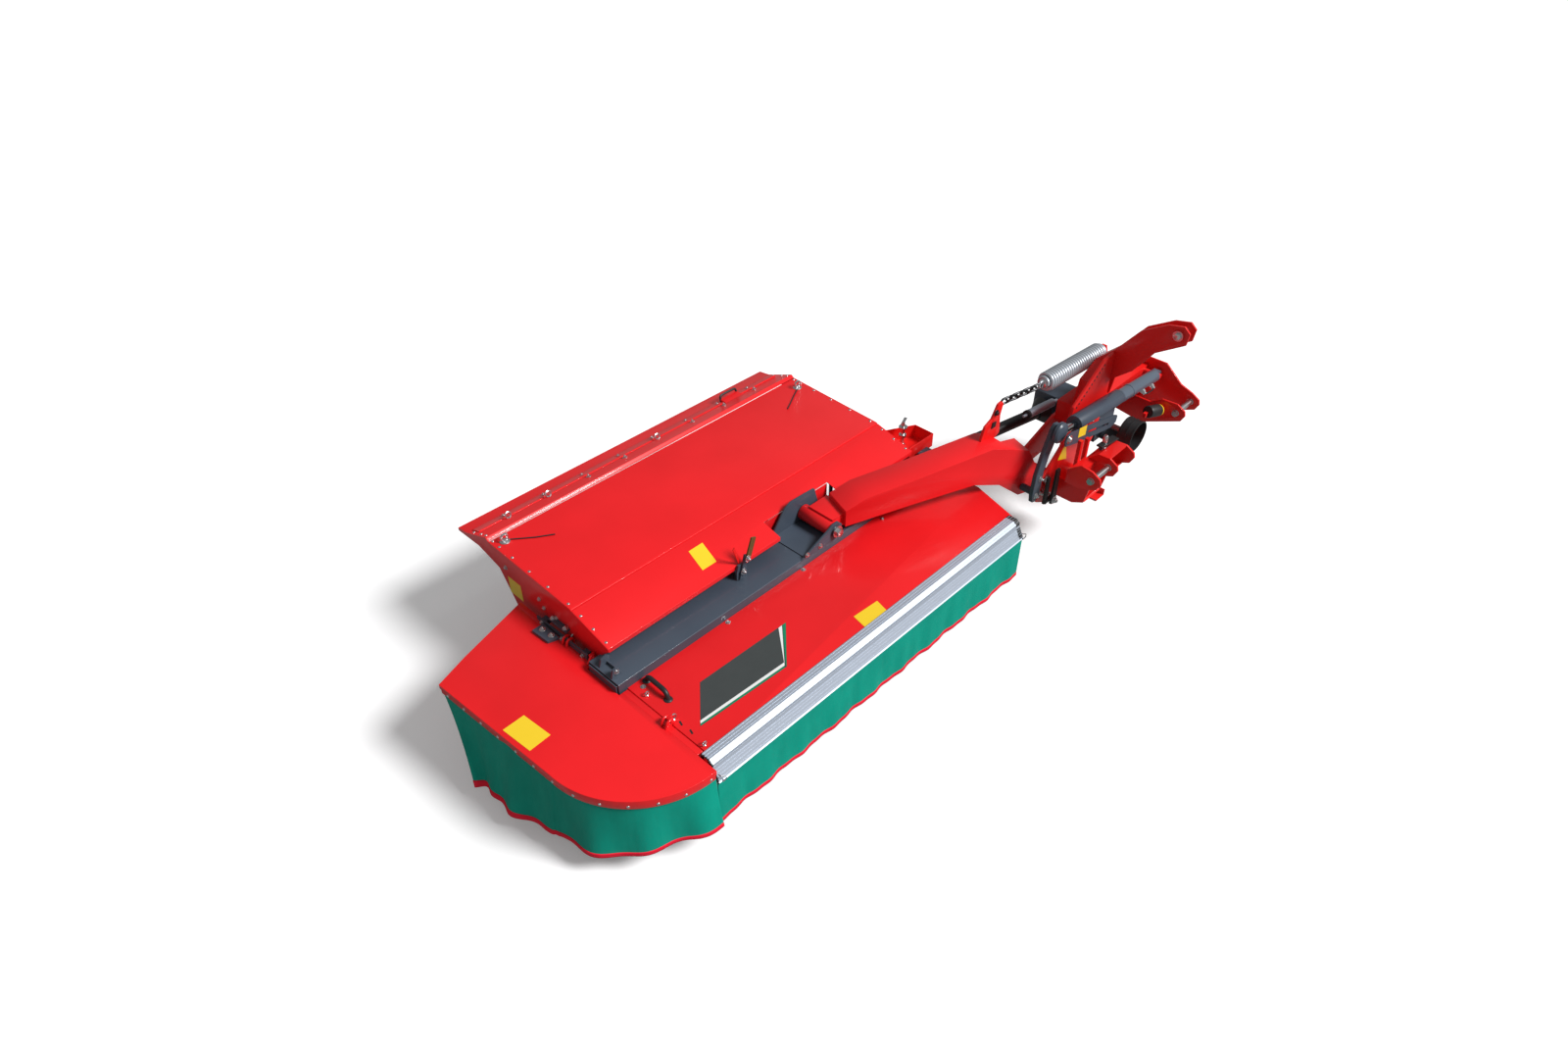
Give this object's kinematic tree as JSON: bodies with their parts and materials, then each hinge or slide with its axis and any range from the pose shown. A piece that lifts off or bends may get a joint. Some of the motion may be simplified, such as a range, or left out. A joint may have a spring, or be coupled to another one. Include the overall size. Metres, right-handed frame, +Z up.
{
  "type": "disc mower",
  "caption": "Rear-mounted disc mower with a tine conditioner hood and folding side cover, carried beside the tractor on a three-point headstock by a lifting arm.",
  "frame": {"origin": "bottom centre of the bounding box, on the ground", "axes": "+X from the outer end of the cutterbar to the headstock, -Y the way it drives, +Z up"},
  "size_m": [4.443, 2.23, 1.372],
  "materials": {
    "red_paint": "gloss",
    "dark_paint": "satin",
    "green_curtain": "matt",
    "aluminium_rail": "satin",
    "zinc": "satin",
    "bare_steel": "worn",
    "cylinder_chrome": "polished",
    "black_plastic": "matt"
  },
  "bodies": {
    "headstock": {"main_tube": "red_paint", "pivot_plates": "red_paint", "lift_pin": "zinc", "near_bracket": "red_paint", "far_bracket": "red_paint", "link_pins": "zinc", "mast": "red_paint", "mast_pin": "zinc", "headstock_gearbox": "dark_paint", "pto_guard": "black_plastic", "relief_spring": "zinc", "spring_chain": "dark_paint"},
    "arm": {"lift_arm": "red_paint", "spring_horn": "red_paint", "lift_lever": "dark_paint"},
    "mower": {"main_beam": "dark_paint", "front_cover": "red_paint", "cover_rail": "aluminium_rail", "inner_skirt": "green_curtain", "cover_hinge_pins": "red_paint", "cutterbar": "dark_paint", "skids": "bare_steel", "bar_supports": "red_paint", "hood_ends": "red_paint", "hood_front_panel": "red_paint", "hood_pocket_wall": "red_paint", "hood_top_panel": "red_paint", "hood_lip": "red_paint", "drive_channel": "red_paint", "deck_clevis": "dark_paint", "deck_pin": "zinc", "setting_lever": "dark_paint", "deck_gearbox": "dark_paint"},
    "side_cover": {"outer_cover": "red_paint", "cover_edges": "red_paint", "outer_skirt": "green_curtain", "cover_hinge_eyes": "red_paint"},
    "curtain": {"curtain_rail": "aluminium_rail", "front_skirt": "green_curtain"},
    "rotor": {"tine_rotor": "dark_paint"},
    "outer_door": {"swath_door_outer": "red_paint"},
    "inner_door": {"swath_door_inner": "red_paint"},
    "barrel": {"cylinder_barrel": "dark_paint"},
    "rod": {"cylinder_rod": "cylinder_chrome", "cylinder_lock": "dark_paint"},
    "drive_tube": {"shaft_outer": "black_plastic"},
    "drive_rod": {"shaft_inner": "black_plastic"},
    "pto": {"pto_shaft": "bare_steel"},
    "stand": {"parking_stand": "red_paint"},
    "cutter_1": {"disc_1": "bare_steel"},
    "cutter_2": {"disc_2": "bare_steel"},
    "cutter_3": {"disc_3": "bare_steel"},
    "cutter_4": {"disc_4": "bare_steel"},
    "cutter_5": {"disc_5": "bare_steel"},
    "cutter_6": {"disc_6": "bare_steel"},
    "cutter_7": {"disc_7": "bare_steel"}
  },
  "joints": [
    {"name": "arm_lift", "type": "hinge", "parent": "headstock", "child": "arm", "pos_m": [1.0935, -0.617, 0.475], "axis": [0, 1, 0], "range_deg": [-6, 90], "deforming": ["relief_spring", "spring_chain"]},
    {"name": "deck_tilt", "type": "hinge", "parent": "arm", "child": "mower", "pos_m": [-0.2275, -0.151, 0.605], "axis": [0, 1, 0], "range_deg": [-3, 8]},
    {"name": "side_cover_fold", "type": "hinge", "parent": "mower", "child": "side_cover", "pos_m": [-1.6395, -0.297, 0.53], "axis": [0, 1, 0], "range_deg": [0, 90]},
    {"name": "curtain_fold", "type": "hinge", "parent": "mower", "child": "curtain", "pos_m": [-0.5165, -0.853, 0.469], "axis": [-1, 0, 0], "range_deg": [0, 90]},
    {"name": "rotor_spin", "type": "hinge", "parent": "mower", "child": "rotor", "pos_m": [-0.5115, 0.123, 0.312], "axis": [1, 0, 0], "continuous": true},
    {"name": "disc_1_spin", "type": "hinge", "parent": "mower", "child": "cutter_1", "pos_m": [-1.9015, -0.477, 0.12], "axis": [0, 0, 1], "continuous": true},
    {"name": "disc_2_spin", "type": "hinge", "parent": "mower", "child": "cutter_2", "pos_m": [-1.5165, -0.477, 0.12], "axis": [0, 0, 1], "continuous": true},
    {"name": "disc_3_spin", "type": "hinge", "parent": "mower", "child": "cutter_3", "pos_m": [-1.1315, -0.477, 0.12], "axis": [0, 0, 1], "continuous": true},
    {"name": "disc_4_spin", "type": "hinge", "parent": "mower", "child": "cutter_4", "pos_m": [-0.7465, -0.477, 0.12], "axis": [0, 0, 1], "continuous": true},
    {"name": "disc_5_spin", "type": "hinge", "parent": "mower", "child": "cutter_5", "pos_m": [-0.3615, -0.477, 0.12], "axis": [0, 0, 1], "continuous": true},
    {"name": "disc_6_spin", "type": "hinge", "parent": "mower", "child": "cutter_6", "pos_m": [0.0235, -0.477, 0.12], "axis": [0, 0, 1], "continuous": true},
    {"name": "disc_7_spin", "type": "hinge", "parent": "mower", "child": "cutter_7", "pos_m": [0.4085, -0.477, 0.12], "axis": [0, 0, 1], "continuous": true},
    {"name": "outer_door_turn", "type": "hinge", "parent": "mower", "child": "outer_door", "pos_m": [-1.5945, 0.333, 0.445], "axis": [0, 0, -1], "range_deg": [0, 30]},
    {"name": "inner_door_turn", "type": "hinge", "parent": "mower", "child": "inner_door", "pos_m": [0.5715, 0.333, 0.445], "axis": [0, 0, 1], "range_deg": [0, 30]},
    {"name": "barrel_swing", "type": "hinge", "parent": "headstock", "child": "barrel", "pos_m": [2.1535, -0.782, 0.745], "axis": [0, 1, 0], "range_deg": [-23.52, 1.83]},
    {"name": "rod_slide", "type": "slide", "parent": "barrel", "child": "rod", "axis": [-0.9959, 0, 0.0901], "range_m": [-0.38476, 0.02658]},
    {"name": "shaft_swing", "type": "hinge", "parent": "headstock", "child": "drive_tube", "pos_m": [1.5535, -0.357, 0.56], "axis": [0.229, 0.9076, -0.3518], "range_deg": [-2, 26.06]},
    {"name": "shaft_slide", "type": "slide", "parent": "drive_tube", "child": "drive_rod", "axis": [-0.9724, 0.2296, -0.0405], "range_m": [-0.26859, 0.01884]},
    {"name": "pto_spin", "type": "hinge", "parent": "headstock", "child": "pto", "pos_m": [1.7535, -0.785, 0.545], "axis": [0, 1, 0], "continuous": true},
    {"name": "stand_fold", "type": "hinge", "parent": "headstock", "child": "stand", "pos_m": [1.7635, -0.557, 0.415], "axis": [1, 0, 0], "range_deg": [0, 90]}
  ],
  "couplings": [
    {"joint": "barrel_swing", "follows": "arm_lift", "ratio": -0.25813},
    {"joint": "rod_slide", "follows": "arm_lift", "m_per_rad": -0.24431},
    {"joint": "shaft_swing", "follows": "arm_lift", "ratio": 0.28636},
    {"joint": "shaft_slide", "follows": "arm_lift", "m_per_rad": -0.17036},
    {"joint": "disc_2_spin", "follows": "disc_1_spin", "ratio": -1},
    {"joint": "disc_3_spin", "follows": "disc_1_spin", "ratio": 1},
    {"joint": "disc_4_spin", "follows": "disc_1_spin", "ratio": -1},
    {"joint": "disc_5_spin", "follows": "disc_1_spin", "ratio": 1},
    {"joint": "disc_6_spin", "follows": "disc_1_spin", "ratio": -1},
    {"joint": "disc_7_spin", "follows": "disc_1_spin", "ratio": 1}
  ]
}
